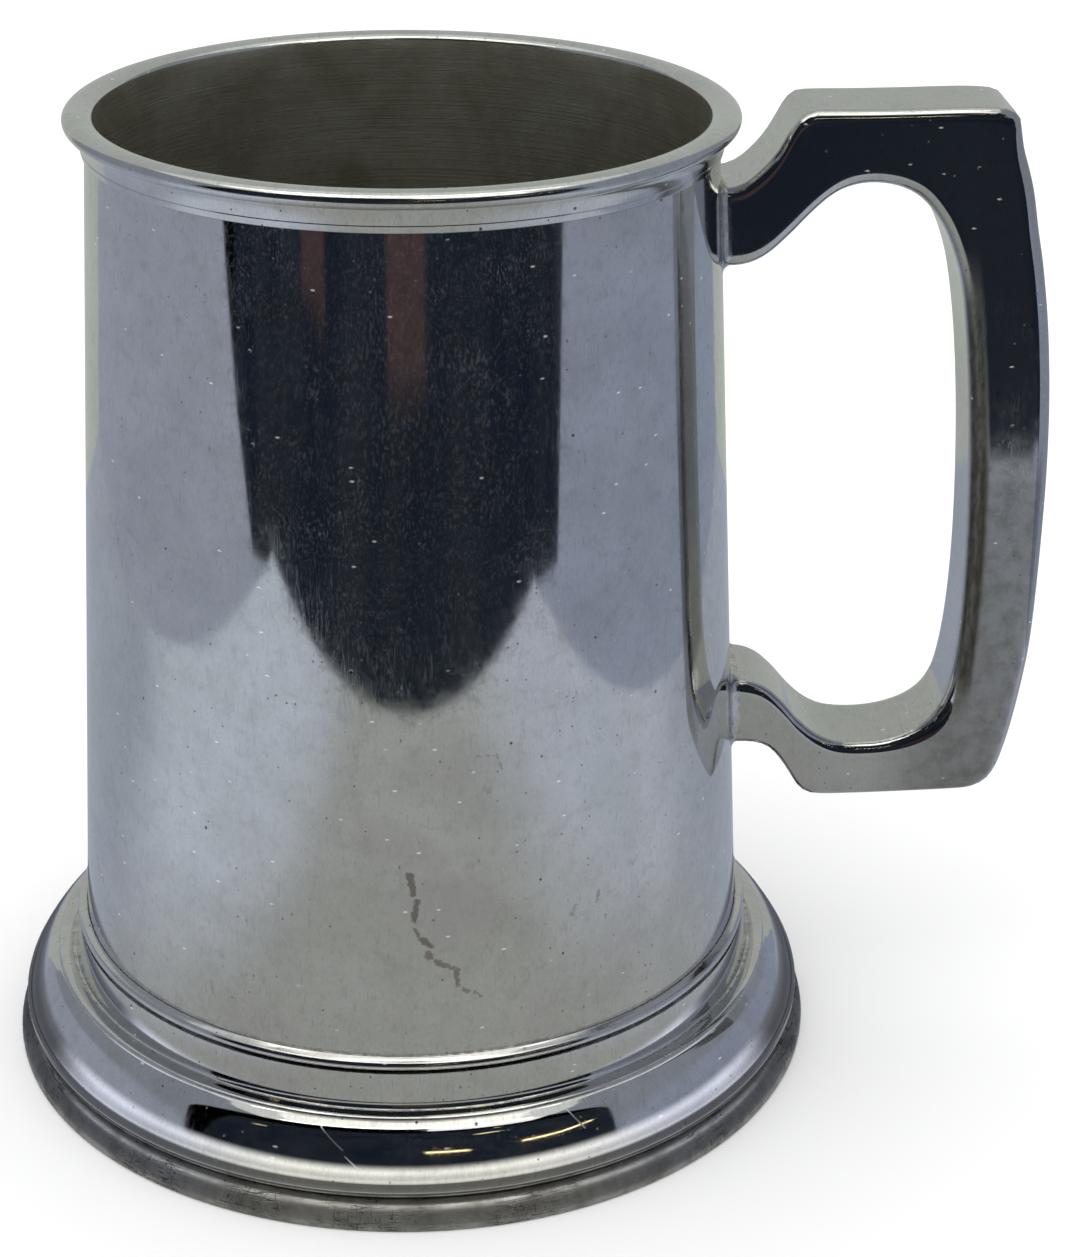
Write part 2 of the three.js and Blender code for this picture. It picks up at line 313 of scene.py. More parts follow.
# Rails of the handle seen from the side: distance from the axis, height.
UPPER_TOP = [(37.35, 115.75), (38.8, 115.8), (40.2, 116.2), (41.4, 116.9), (43.0, 118.4),
             (44.4, 120.2), (45.6, 122.3), (46.5, 123.9), (47.5, 124.85), (49.0, 125.15),
             (55.0, 125.2), (61.0, 125.3), (67.0, 125.45), (70.4, 125.4), (72.3, 125.1),
             (73.25, 124.2), (73.6, 122.8)]
GRIP_BACK = [(74.15, 120.3), (75.15, 117.4), (75.95, 114.5), (76.8, 110.2), (77.9, 105.0),
             (79.1, 97.4), (80.0, 88.4), (80.45, 79.5), (80.55, 71.5), (80.5, 63.2), (80.25, 55.4),
             (79.6, 49.3), (78.6, 43.1), (77.6, 39.0), (76.9, 37.1), (75.8, 35.5), (74.2, 34.6)]
UNDERSIDE = [(72.4, 34.3), (64.4, 34.0), (57.2, 33.82), (53.4, 33.85), (51.8, 34.3), (50.7, 35.3),
             (49.6, 37.1), (48.3, 39.1), (46.8, 40.8), (45.0, 41.55), (43.4, 41.7), (41.4, 41.7)]
LOWER_TOP = [(40.9, 50.7), (42.6, 50.5), (44.6, 50.1), (46.4, 49.1), (48.3, 47.3), (50.4, 44.8),
             (52.6, 42.8), (55.0, 41.6), (58.2, 41.2), (61.8, 41.5), (65.2, 42.6)]
GRIP_FRONT = [(67.8, 44.4), (69.4, 47.0), (70.2, 50.6), (70.75, 56.0), (71.0, 63.0), (70.9, 71.2),
              (70.5, 80.0), (69.9, 88.0), (69.0, 96.0), (67.8, 103.2), (66.5, 107.6), (64.7, 111.3)]
UPPER_LOW = [(62.2, 114.3), (59.4, 115.8), (56.2, 116.3), (53.4, 115.9), (51.2, 114.8),
             (48.9, 112.7), (46.4, 110.0), (44.2, 107.9), (42.3, 106.7), (40.3, 106.15), (37.9, 106.1)]
RAIL_POINTS = 150


def rounding(u, z):
    """Share of the widest rounding that a long edge of the handle has at a place."""
    if z > 121 or (z > 114.5 and u < 48):
        return 0.6
    if z < 36.5 or (z < 42.2 and u < 52):
        return 0.45
    if u > 72.5:
        return 0.88
    if z > 100:
        return 0.7
    far = min(max((u - 60) / 8, 0), 1)
    return 0.6 + 0.4 * far * far * (3 - 2 * far)


def make_handle():
    """Two rails bridged to a flat side, drawn out to the full width, then rounded."""
    outer = evenly(smooth_line(UPPER_TOP + GRIP_BACK + UNDERSIDE, 8), RAIL_POINTS)
    inner = evenly(smooth_line(LOWER_TOP + GRIP_FRONT + UPPER_LOW, 8), RAIL_POINTS)[::-1]
    half = HANDLE_W / 2
    outer_places, inner_places = ([spot(u, z, -half) for u, z in rail] for rail in (outer, inner))
    piece = start_point("cast_handle", outer_places[0])
    draw_through(outer_places)
    another_point(inner_places[0])
    draw_through(inner_places)
    bpy.ops.mesh.select_all(action="SELECT")
    bpy.ops.mesh.bridge_edge_loops()
    bpy.ops.mesh.select_all(action="SELECT")
    draw_on((0, HANDLE_W * MM, 0))
    bpy.ops.mesh.select_all(action="SELECT")
    bpy.ops.mesh.normals_make_consistent(inside=False)
    bpy.ops.object.mode_set(mode="OBJECT")
    round_long_edges(piece)
    return piece


def round_long_edges(piece):
    """Rounds the four long edges of the handle, tighter along the top and the underside."""
    mesh = piece.data
    weights = mesh.attributes.new("bevel_weight_edge", "FLOAT", "EDGE")
    for edge in mesh.edges:
        a, b = (mesh.vertices[i].co / MM for i in edge.vertices)
        same_side = abs(a.y - b.y) < 0.01
        mid_u, mid_z = (a.x + b.x) / 2 - AXIS_X, (a.z + b.z) / 2
        if same_side and (a - b).length < 3.0:
            weights.data[edge.index].value = rounding(mid_u, mid_z)
    pick_piece(piece)
    bpy.ops.object.shade_smooth()
    bevel = piece.modifiers.new("long edges", "BEVEL")
    bevel.limit_method = "WEIGHT"
    bevel.width = EDGE_ROUND * MM
    bevel.segments = ROUND_STEPS
    bevel.profile = ROUND_PROFILE
    bevel.use_clamp_overlap = False
    bevel.harden_normals = True
    bpy.ops.object.modifier_apply(modifier=bevel.name)


def cove_section():
    """Cross-section of the collar: growth round the root, lift off the barrel."""
    turns = [math.pi / 2 * k / COVE_STEPS for k in range(COVE_STEPS + 1)]
    hollow = [(COVE * (1 - math.cos(t)), COVE * (1 - math.sin(t))) for t in turns]
    return hollow + [(COVE + 0.05, -COVE_SINK), (COVE_INNER, -COVE_SINK), (COVE_INNER, COVE * 0.9)]


def collar_ring(low, high, grow, lift):
    """Places of one ring round a root, laid on the barrel."""
    ring = []
    reach = COLLAR_CORNER + grow
    for side, (sy, sz) in enumerate(((1, 1), (-1, 1), (-1, -1), (1, -1))):
        cy = sy * (HANDLE_W / 2 - COLLAR_CORNER)
        cz = high - COLLAR_CORNER if sz > 0 else low + COLLAR_CORNER
        for step in range(CORNER_STEPS + 1):
            turn = math.pi / 2 * (side + step / CORNER_STEPS)
            y, z = cy + reach * math.cos(turn), cz + reach * math.sin(turn)
            ring.append(spot(math.sqrt(barrel_r(z) ** 2 - y * y) + lift, z, y))
    return ring


def make_collar(name, low, high):
    """Hollow solder collar: rings drawn round a root, then each bridged to the next."""
    rings = [collar_ring(low, high, grow, lift) for grow, lift in cove_section()]
    count = len(rings[0])
    piece = start_point(name, rings[0][0])
    for k, ring in enumerate(rings):
        if k > 0:
            another_point(ring[0])
        draw_through(ring)
        pick_points(piece, (k * count, k * count + count - 1))
        bpy.ops.mesh.edge_face_add()
    for k in range(len(rings)):
        pair = (k, (k + 1) % len(rings))
        pick_points(piece, [ring * count + i for ring in pair for i in range(count)])
        bpy.ops.mesh.bridge_edge_loops()
    close_up()
    return piece


# ---- finishes ---------------------------------------------------------------------

MARK_R = 42.0               # the marks on the barrel are laid out at this radius
BAND_MARK_R = 53.0          # and those on the resting band at this one


class Finish:
    """A material laid out node by node. A socket takes a number, a colour or a node's output."""

    def __init__(self, name):
        self.material = bpy.data.materials.new(name)
        self.material.use_nodes = True
        self.tree = self.material.node_tree
        self.tree.nodes.clear()

    def node(self, kind, values=None, **settings):
        made = self.tree.nodes.new(kind)
        for key, value in settings.items():
            setattr(made, key, value)
        for key, value in (values or {}).items():
            if isinstance(value, bpy.types.NodeSocket):
                self.tree.links.new(value, made.inputs[key])
            else:
                made.inputs[key].default_value = value
        return made

    def math(self, operation, a, b=0.0, c=None, clamp=False):
        values = {0: a, 1: b} if c is None else {0: a, 1: b, 2: c}
        return self.node("ShaderNodeMath", values, operation=operation, use_clamp=clamp).outputs[0]

    def blend(self, amount, a, b):
        made = self.node("ShaderNodeMix", data_type="RGBA")
        for index, value in ((0, amount), (6, a), (7, b)):
            if isinstance(value, bpy.types.NodeSocket):
                self.tree.links.new(value, made.inputs[index])
            else:
                made.inputs[index].default_value = value if index == 0 else (*value, 1)
        return made.outputs[2]

    def ramp(self, value, low, high, out_low=0.0, out_high=1.0):
        return self.node("ShaderNodeMapRange", {"Value": value, "From Min": low, "From Max": high,
                                                "To Min": out_low, "To Max": out_high},
                         interpolation_type="SMOOTHSTEP").outputs[0]

    def place(self, scale=(1, 1, 1), turn=(0, 0, 0), vector=None):
        """Object coordinates in millimetres from the barrel's axis, or another vector stretched."""
        if vector is None:
            vector = self.node("ShaderNodeTexCoord").outputs["Object"]
            vector = self.node("ShaderNodeMapping", {
                "Vector": vector, "Location": (-AXIS_X, 0, 0), "Scale": (1 / MM,) * 3}).outputs[0]
            if scale == (1, 1, 1) and turn == (0, 0, 0):
                return vector
        values = {"Vector": vector, "Scale": scale, "Rotation": turn}
        return self.node("ShaderNodeMapping", values).outputs[0]

    def noise(self, vector, scale, detail=3.0, rough=0.5, twist=0.0):
        return self.node("ShaderNodeTexNoise", {"Vector": vector, "Scale": scale, "Detail": detail,
                                                "Roughness": rough, "Distortion": twist}).outputs[0]

    def parts(self, vector):
        return self.node("ShaderNodeSeparateXYZ", {"Vector": vector}).outputs

    def join(self, x, y, z=0.0):
        return self.node("ShaderNodeCombineXYZ", {"X": x, "Y": y, "Z": z}).outputs[0]

    def length(self, x, y):
        squares = self.math("ADD", self.math("MULTIPLY", x, x), self.math("MULTIPLY", y, y))
        return self.math("SQRT", squares)

    def unrolled(self, place, radius=MARK_R):
        """Distance round the barrel, height, and distance from the axis."""
        x, y, z = self.parts(place)
        angle = self.math("ARCTAN2", y, x)
        return self.join(self.math("MULTIPLY", angle, radius), z, self.length(x, y))

    def lines(self, vector, stretch, turn, thin=0.012):
        """Thin scratches that run one way."""
        along = self.place(scale=stretch, turn=(0, 0, turn), vector=vector)
        value = self.noise(along, 1.0, 1.0)
        ridge = self.math("ABSOLUTE", self.math("SUBTRACT", value, 0.5))
        return self.ramp(ridge, 0.0, thin, 1.0, 0.0)

    def specks(self, vector, scale, share, size):
        """Small round marks, in a share of the cells."""
        made = self.node("ShaderNodeTexVoronoi", {"Vector": vector, "Scale": scale})
        chosen = self.math("LESS_THAN", self.parts(made.outputs["Color"])[0], share)
        spot_shape = self.ramp(made.outputs["Distance"], size * 0.4, size, 1.0, 0.0)
        return self.math("MULTIPLY", spot_shape, chosen)

    def from_line(self, x, y, x0, y0, x1, y1):
        """Distance from a short straight line."""
        ax, ay = x1 - x0, y1 - y0
        dx, dy = self.math("SUBTRACT", x, x0), self.math("SUBTRACT", y, y0)
        ahead = self.math("MULTIPLY_ADD", dx, ax, self.math("MULTIPLY", dy, ay))
        along = self.math("DIVIDE", ahead, ax * ax + ay * ay, clamp=True)
        return self.length(self.math("SUBTRACT", dx, self.math("MULTIPLY", along, ax)),
                           self.math("SUBTRACT", dy, self.math("MULTIPLY", along, ay)))

    def from_mark(self, along, up, mark):
        """Distance from a mark on the unrolled barrel, whose ends are in degrees and height."""
        a0, z0, a1, z1 = mark
        x0, x1 = math.radians(a0) * MARK_R, math.radians(a1) * MARK_R
        return self.from_line(along, up, x0, z0, x1, z1)

    def add_up(self, *values):
        total = values[0]
        for value in values[1:]:
            total = self.math("ADD", total, value, clamp=True)
        return total

    def metal(self, colour, roughness, metallic, height, depth=1.0):
        bump = self.node("ShaderNodeBump", {
            "Strength": 1.0, "Distance": depth * MM, "Height": height})
        return self.done(self.node("ShaderNodeBsdfPrincipled", {
            "Base Color": colour, "Roughness": roughness, "Metallic": metallic,
            "Normal": bump.outputs[0], "IOR": 1.5}))

    def glowing(self, colour, strength=1.0):
        return self.node("ShaderNodeEmission", {"Color": colour, "Strength": strength})

    def done(self, shader):
        """Joins a shader to the output and gives the finished material."""
        out = self.node("ShaderNodeOutputMaterial")
        self.tree.links.new(shader.outputs[0], out.inputs[0])
        return self.material


PEWTER_LIGHT = (0.68, 0.68, 0.67)
PEWTER_DULL = (0.57, 0.57, 0.545)
PEWTER_DARK = (0.44, 0.44, 0.41)
PEWTER_WARM = (0.52, 0.49, 0.52)
PEWTER_COOL = (0.52, 0.56, 0.53)
PEWTER_BARE = (0.84, 0.84, 0.83)    # grains where the polish has cut through the skin
NICK = (0.85, 0.85, 0.85)
SCRATCH = (0.95, 0.95, 0.95)
# Darker colour given to the handle's flat sides, low on the grip and on the lower arm.
FLAT_SIDE_DARK = (0.2, 0.195, 0.18)
GRIME = (0.055, 0.045, 0.032)
TARNISH = (0.10, 0.088, 0.07)
SIDE_DIRT = 1.7             # how much wider the dirt in a groove gets towards the sides
NICK_DULL = 0.3             # how much less a nick mirrors its surroundings


def fine_scratches(f, place, flat):
    """Thin scratches in three directions, gathered in patches."""
    marks = f.add_up(f.lines(flat, (0.9, 0.12, 0.1), 0.5), f.lines(flat, (1.1, 0.1, 0.1), -0.9),
                     f.lines(flat, (0.8, 0.09, 0.1), 1.7))
    return f.math("MULTIPLY", marks, f.ramp(f.noise(place, 0.12, 3.0), 0.42, 0.62))


def small_flecks(f, place, flat):
    """Short dark flecks, gathered in patches."""
    tilted = f.place(scale=(1.0, 0.5, 0.8), turn=(0, 0, 0.25), vector=flat)
    patches = f.ramp(f.noise(place, 0.16, 3.0), 0.48, 0.6)
    return f.math("MULTIPLY", f.specks(tilted, 1.1, 0.2, 0.17), patches)


def mottling(f, place, light, texture, cloud, grain, dash):
    """Colour of the polished skin: broad patches first, then the finer marks."""
    mottle = f.noise(place, 0.09, 7.0, 0.72, 0.3)
    tint = f.noise(f.place(turn=(0.6, 0.2, 0.0), vector=place), 0.055, 4.0, 0.6, 0.4)
    colour = f.blend(f.math("MULTIPLY", f.ramp(mottle, 0.35, 0.68), 0.75), light, PEWTER_DULL)
    colour = f.blend(f.ramp(tint, 0.52, 0.68, 0.0, 0.35 * texture), colour, PEWTER_WARM)
    colour = f.blend(f.ramp(tint, 0.34, 0.48, 0.35 * texture, 0.0), colour, PEWTER_COOL)
    colour = f.blend(f.ramp(cloud, 0.48, 0.76, 0.0, 0.55 * texture), colour, PEWTER_DARK)
    colour = f.blend(f.ramp(grain, 0.5, 0.74, 0.0, 0.62 * texture), colour, PEWTER_DARK)
    colour = f.blend(f.ramp(dash, 0.56, 0.74, 0.0, 0.5 * texture), colour, PEWTER_DARK)
    return f.blend(f.ramp(grain, 0.26, 0.44, 0.5 * texture, 0.0), colour, PEWTER_BARE)


def groove_dirt(f, place, grooves, dirt):
    """Dirt left in each groove, given by its height and reach, wider towards the sides."""
    x, _, z = f.parts(place)
    ragged = f.ramp(f.noise(place, 0.9, 5.0, 0.7), 0.3, 0.72)
    sides = f.ramp(f.math("ABSOLUTE", x), 14.0, 38.0, 1.0, SIDE_DIRT)
    for height, reach in grooves:
        away = f.math("DIVIDE", f.math("ABSOLUTE", f.math("SUBTRACT", z, height)), sides)
        near = f.ramp(away, 0.0, reach, 1.0, 0.0)
        dirt = f.math("MAXIMUM", dirt, f.math("MULTIPLY", near, f.math("MULTIPLY", ragged, 0.8)))
    return dirt


def trail_dirt(f, place, flat, trail, dirt):
    """Tarnish along the marks of a trail, with uneven edges."""
    along, up, _ = f.parts(flat)
    wobble = f.math("SUBTRACT", f.noise(place, 1.6, 4.0, 0.65), 0.5)
    for *mark, wide, strength in trail:
        far = f.math("ADD", f.from_mark(along, up, mark), f.math("MULTIPLY", wobble, 1.3))
        dirt = f.math("MAXIMUM", dirt, f.ramp(far, wide * 0.6, wide * 1.2, strength, 0.0))
    return dirt


def darker_flat_sides(f, place, cloud):
    """Where the flat sides of the handle are given a darker colour: low on the grip and on the lower
    arm.
    """
    x, y, z = f.parts(place)
    face = f.ramp(f.math("ABSOLUTE", y), 6.1, 6.48)
    face = f.math("MULTIPLY", face, f.ramp(z, 76.0, 84.0, 1.0, 0.0))
    face = f.math("MULTIPLY", face, f.ramp(x, 58.0, 70.0, 0.08, 1.0))
    return f.math("MULTIPLY", face, f.ramp(cloud, 0.35, 0.7, 0.66, 0.9))


def pewter(name, rough=0.07, wave=0.002, grooves=(), trail=(), scars=(), turned_piece=True,
           grit=0.05, light=PEWTER_LIGHT, texture=1.0, stain=None, matte=0.5, film=0.02):
    """Polished pewter: mottling, fine scratches, flecks, pits, nicks and a thin dull film."""
    f = Finish(name)
    place = f.place()
    flat = f.unrolled(place) if turned_piece else f.place(turn=(math.pi / 2, 0, 0), vector=place)
    cloud = f.noise(place, 0.5, 6.0, 0.7)
    grain = f.noise(f.place(scale=(3.4, 1.5, 0.6), vector=flat), 1.0, 4.0, 0.75)
    dash = f.noise(f.place(scale=(2.1, 0.42, 0.5), vector=flat), 1.0, 3.0, 0.65)
    scratch = fine_scratches(f, place, flat)
    pitted = f.add_up(f.specks(place, 0.28, 0.30, 0.07), f.specks(place, 0.9, 0.16, 0.12))
    colour = mottling(f, place, light, texture, cloud, grain, dash)
    colour = f.blend(f.math("MULTIPLY", small_flecks(f, place, flat), 0.6), colour, TARNISH)
    colour = f.blend(f.math("MULTIPLY", pitted, 0.8), colour, TARNISH)
    roughness = f.math("ADD", rough, f.math("MULTIPLY", f.ramp(cloud, 0.35, 0.75), grit))
    roughness = f.math("ADD", roughness, f.math("MULTIPLY", scratch, 0.08))
    dirt = 0.0
    if grooves:
        dirt = groove_dirt(f, place, grooves, dirt)
    if trail:
        dirt = trail_dirt(f, place, flat, trail, dirt)
    if stain:
        dirt = f.math("MAXIMUM", dirt, stain(f, place, dash))
        # The handle's flat sides are also given a darker colour low down.
        colour = f.blend(darker_flat_sides(f, place, cloud), colour, FLAT_SIDE_DARK)
    colour = f.blend(dirt, colour, GRIME)
    along, up, _ = f.parts(flat)
    for scar in scars:
        cut = f.ramp(f.from_mark(along, up, scar), 0.03, 0.12, 0.8, 0.0)
        colour = f.blend(cut, colour, SCRATCH)
        roughness = f.math("ADD", roughness, f.math("MULTIPLY", cut, 0.45))
    roughness = f.math("ADD", roughness, f.math("MULTIPLY", dirt, 0.3))
    tilted = f.place(scale=(0.5, 1.2, 0.9), turn=(0, 0, 0.3), vector=flat)
    nicks = f.specks(tilted, 0.5, 0.5, 0.1)
    colour = f.blend(nicks, colour, NICK)
    haze = f.math("MULTIPLY", f.ramp(f.noise(place, 0.075, 5.0, 0.65, 0.8), 0.4, 0.7, 0.3, 1.0),
                  f.ramp(grain, 0.48, 0.66, 0.0, 1.0))
    haze = f.math("MULTIPLY_ADD", nicks, NICK_DULL, f.math("MULTIPLY", haze, film))
    metallic = f.math("SUBTRACT", f.math("SUBTRACT", 1.0, haze), f.math("MULTIPLY", dirt, matte))
    height = f.math("MULTIPLY", f.noise(place, 0.11, 2.0), wave * 8)
    height = f.math("SUBTRACT", height, f.math("MULTIPLY", scratch, 0.00015))
    height = f.math("SUBTRACT", height, f.math("MULTIPLY", pitted, 0.05))
    return f.metal(colour, roughness, metallic, height)


def grip_stain(f, place, streaks):
    """Brown dirt along the rounded inner edges of the grip."""
    u, _, z = f.parts(place)
    drop = f.math("SUBTRACT", z, 63.0)
    rail = f.math("SUBTRACT", 71.0, f.math("MULTIPLY", f.math("MULTIPLY", drop, drop), 0.00185))
    past = f.math("SUBTRACT", u, rail)
    inside = f.math("MULTIPLY", f.ramp(past, -0.1, 0.35), f.ramp(past, 1.6, 2.5, 1.0, 0.0))
    tall = f.math("MULTIPLY", f.ramp(z, 44.0, 52.0), f.ramp(z, 98.0, 110.0, 1.0, 0.0))
    worn = f.ramp(streaks, 0.35, 0.65, 0.88, 0.7)
    return f.math("MULTIPLY", f.math("MULTIPLY", inside, tall), worn)


def spun_pewter(name):
    """Inside of the barrel and the drinking floor: turning lines and a dull, stained skin."""
    f = Finish(name)
    place = f.place()
    around, up, out = f.parts(f.unrolled(place))
    ring = f.join(f.math("MULTIPLY", around, 0.02), f.math("MULTIPLY", up, 3.2),
                  f.math("MULTIPLY", out, 3.2))
    turning = f.noise(ring, 1.0, 4.0, 0.75)
    stain = f.noise(place, 0.07, 6.0, 0.65, 0.6)
    colour = f.blend(f.ramp(stain, 0.35, 0.68), (0.60, 0.60, 0.53), (0.42, 0.405, 0.33))
    lines = f.math("MULTIPLY", f.ramp(turning, 0.45, 0.7), 0.5)
    colour = f.blend(lines, colour, (0.27, 0.255, 0.2))
    nicks = f.specks(place, 0.22, 0.3, 0.045)
    colour = f.blend(nicks, colour, (0.85, 0.84, 0.78))
    roughness = f.ramp(turning, 0.3, 0.75, 0.22, 0.36)
    return f.metal(colour, roughness, 0.9, f.math("MULTIPLY", turning, 0.008))


def worn_pewter(name):
    """Resting band: rubbed on the table, with dark scratches and dirt."""
    f = Finish(name)
    place = f.place()
    flat = f.unrolled(place, BAND_MARK_R)
    mottle = f.noise(place, 0.25, 6.0, 0.7)
    rubbed = f.add_up(f.lines(flat, (0.12, 2.2, 0.3), 0.05, 0.03),
                      f.lines(flat, (0.25, 1.6, 0.3), -0.2, 0.02),
                      f.lines(flat, (1.4, 0.3, 0.3), 0.3, 0.02))
    dark = f.math("MULTIPLY", rubbed, f.ramp(f.noise(place, 0.16, 4.0), 0.4, 0.62))
    pits = f.specks(place, 0.6, 0.3, 0.14)
    colour = f.blend(f.ramp(mottle, 0.35, 0.7), (0.54, 0.535, 0.515), (0.33, 0.325, 0.305))
    marks = f.add_up(dark, pits)
    colour = f.blend(f.math("MULTIPLY", marks, 0.8), colour, (0.06, 0.054, 0.045))
    roughness = f.ramp(mottle, 0.3, 0.75, 0.28, 0.5)
    height = f.math("SUBTRACT", f.math("MULTIPLY", mottle, 0.02), f.math("MULTIPLY", marks, 0.03))
    return f.metal(colour, roughness, 1.0, height)


def solder_finish(name):
    """Filed and polished solder: duller than the castings, with small hollows."""
    f = Finish(name)
    place = f.place()
    mottle = f.noise(place, 0.8, 5.0, 0.65)
    pits = f.specks(place, 1.1, 0.3, 0.16)
    colour = f.blend(f.ramp(mottle, 0.35, 0.7), (0.6, 0.6, 0.58), (0.42, 0.415, 0.38))
    colour = f.blend(f.math("MULTIPLY", pits, 0.7), colour, TARNISH)
    roughness = f.ramp(mottle, 0.3, 0.75, 0.14, 0.3)
    height = f.math("SUBTRACT", f.math("MULTIPLY", mottle, 0.03), f.math("MULTIPLY", pits, 0.04))
    return f.metal(colour, roughness, 1.0, height)


# Marks of the brown tarnish trail: degrees and height of both ends, half width, strength.
TRAIL = ((-90.4, 43.2, -90.0, 40.6, 0.5, 0.8), (-89.3, 39.7, -89.9, 37.3, 0.45, 0.8),
         (-89.7, 36.0, -89.1, 35.0, 0.3, 0.75), (-88.8, 34.7, -87.2, 33.6, 0.45, 0.8),
         (-87.7, 32.7, -87.4, 32.4, 0.6, 0.75), (-86.3, 31.6, -85.3, 31.1, 0.36, 0.75),
         (-85.3, 31.1, -82.7, 30.3, 0.26, 0.7), (-83.1, 30.2, -82.9, 28.3, 0.34, 0.75),
         (-82.1, 27.5, -81.2, 27.3, 0.28, 0.7), (-80.3, 27.0, -79.2, 26.4, 0.16, 0.6),
         (-160.5, 30.7, -155.8, 28.2, 0.25, 0.45), (-58.0, 37.1, -58.4, 35.7, 0.18, 0.55),
         (-62.5, 36.2, -63.3, 35.1, 0.24, 0.5), (-80.0, 58.0, -76.2, 57.9, 0.12, 0.45),
         (-76.0, 57.9, -75.1, 55.9, 0.12, 0.45), (-78.3, 53.9, -77.3, 53.3, 0.35, 0.35),
         (-125.1, 24.7, -124.7, 23.4, 0.25, 0.4))
# Bright scratches on the moulding: degrees and height of both ends.
FOOT_SCARS = ((-103.5, 11.5, -100.1, 9.6), (-99.7, 9.0, -97.4, 7.6), (-67.7, 11.7, -65.8, 9.6))


def set_finish(piece, material):
    piece.data.materials.clear()
    piece.data.materials.append(material)


# ---- make the pieces -----------------------------------------------------------------

lip = make_lip()
barrel = make_barrel()
floor_disc = make_floor()
bead = make_bead()
foot = make_foot()
rest_band = make_rest_band()
handle = make_handle()
upper_collar = make_collar("upper_solder_collar", *UPPER_ROOT)
lower_collar = make_collar("lower_solder_collar", *LOWER_ROOT)

barrel_finish = pewter("polished pewter barrel", rough=0.045, wave=0.0006, film=0.075,
                       grooves=((18.9, 0.4),), trail=TRAIL)
lip_finish = pewter("polished pewter lip", rough=0.1, wave=0.001, texture=0.8)
bead_finish = pewter("polished pewter bead", rough=0.09, wave=0.001, texture=0.7,
                     grooves=((BEAD_TOP_Z, 0.14), (16.8, 0.12)))
foot_finish = pewter("polished pewter foot", rough=0.045, grit=0.03, wave=0.0015, texture=0.8,
                     grooves=((12.44, 0.06), (16.9, 0.1)), scars=FOOT_SCARS)
handle_finish = pewter("polished pewter handle", rough=0.06, wave=0.0008, texture=0.9,
                       light=(0.58, 0.58, 0.57), turned_piece=False, stain=grip_stain,
                       matte=0.12, film=0.002)
inside_finish = spun_pewter("spun pewter inside")
band_finish = worn_pewter("worn pewter band")
solder_look = solder_finish("solder")

for piece, material, replaced, slot in (
        (lip, lip_finish, "mouth_wire", "polished_pewter"),
        (barrel, barrel_finish, "barrel", "polished_pewter"),
        (floor_disc, inside_finish, "floor_disc", "worn_pewter"),
        (bead, bead_finish, "seam_bead", "polished_pewter"),
        (foot, foot_finish, "foot_skirt", "polished_pewter"),
        (rest_band, band_finish, "foot_rest_band", "worn_pewter"),
        (handle, handle_finish, "handle", "polished_pewter"),
        (upper_collar, solder_look, "upper_solder_fillet", "solder"),
        (lower_collar, solder_look, "lower_solder_fillet", "solder")):
    set_finish(piece, material)
    if piece is not handle:
        pick_piece(piece)
        bpy.ops.object.shade_smooth_by_angle(angle=math.radians(SMOOTH_BELOW))
    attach(piece, "root")
    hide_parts(replaced)

# The inner walls of the barrel and the lip have the spun finish: upright faces that look inwards.
for piece in (barrel, lip):
    piece.data.materials.append(inside_finish)
    for face in piece.data.polygons:
        out = Vector((face.center.x - AXIS_X * MM, face.center.y))
        inward = out.dot(Vector((face.normal.x, face.normal.y))) < 0
        if inward and abs(face.normal.z) < 0.3:
            face.material_index = 1


# ---- floor, light and surroundings ------------------------------------------------------

DAYLIGHT = 1.22             # strength of the plain white surroundings
SOFT_BOX_PLACE = (-0.35, -0.3, 0.9)
SOFT_BOX_AIM = (0.35, 0.3, -0.85)


def pale_floor():
    deselect_all()
    bpy.ops.mesh.primitive_plane_add(size=8, location=(0, 0, 0))
    floor = bpy.context.object
    floor.name = "pale_floor"
    f = Finish("pale floor")
    set_finish(floor, f.done(f.node("ShaderNodeBsdfDiffuse", {"Color": (0.93, 0.93, 0.93, 1)})))
    floor.visible_glossy = False


def soft_light():
    world = bpy.data.worlds.new("soft white")
    world.use_nodes = True
    background = world.node_tree.nodes["Background"]
    background.inputs["Color"].default_value = (1, 1, 1, 1)
    background.inputs["Strength"].default_value = DAYLIGHT
    world.cycles_visibility.glossy = False
    bpy.context.scene.world = world
    bpy.ops.object.light_add(type="AREA", location=SOFT_BOX_PLACE)
    lamp = bpy.context.object
    lamp.name = "soft_box"
    lamp.data.size = 0.8
    lamp.data.energy = 1.0
    lamp.rotation_euler = Vector(SOFT_BOX_AIM).to_track_quat("-Z", "Y").to_euler()
    lamp.visible_glossy = False


def plain_glow(name, colour, strength=1.0):
    f = Finish(name)
    return f.done(f.glowing((*colour, 1), strength))


def only_reflected(sheet):
    """Leaves a sheet to the reflections alone."""
    sheet.visible_camera = sheet.visible_diffuse = sheet.visible_shadow = False
    sheet.visible_transmission = sheet.visible_volume_scatter = False


def card(name, corners, material):
    """A sheet that only the polished metal sees. Corners in millimetres from the axis."""
    deselect_all()
    bpy.ops.mesh.primitive_plane_add(size=1, location=(0, 0, 0))
    sheet = bpy.context.object
    sheet.name = name
    sheet.data.clear_geometry()
    sheet.data.from_pydata([spot(x, z, y) for x, y, z in corners], [], [range(len(corners))])
    set_finish(sheet, material)
    only_reflected(sheet)


def level_card(name, x_span, y_span, z, material):
    (left, right), (front, back) = x_span, y_span
    card(name, ((left, front, z), (right, front, z), (right, back, z), (left, back, z)), material)


def upright_card(name, x_span, y, z_span, material):
    (left, right), (low, high) = x_span, z_span
    card(name, ((left, y, low), (right, y, low), (right, y, high), (left, y, high)), material)


# The box of white sheets round the tankard, millimetres from the axis.
TENT_LEFT, TENT_RIGHT, TENT_FRONT, TENT_BACK, TENT_TOP = -208.0, 182.0, -214.0, 190.0, 385.0
CEILING_FRONT = -100.0
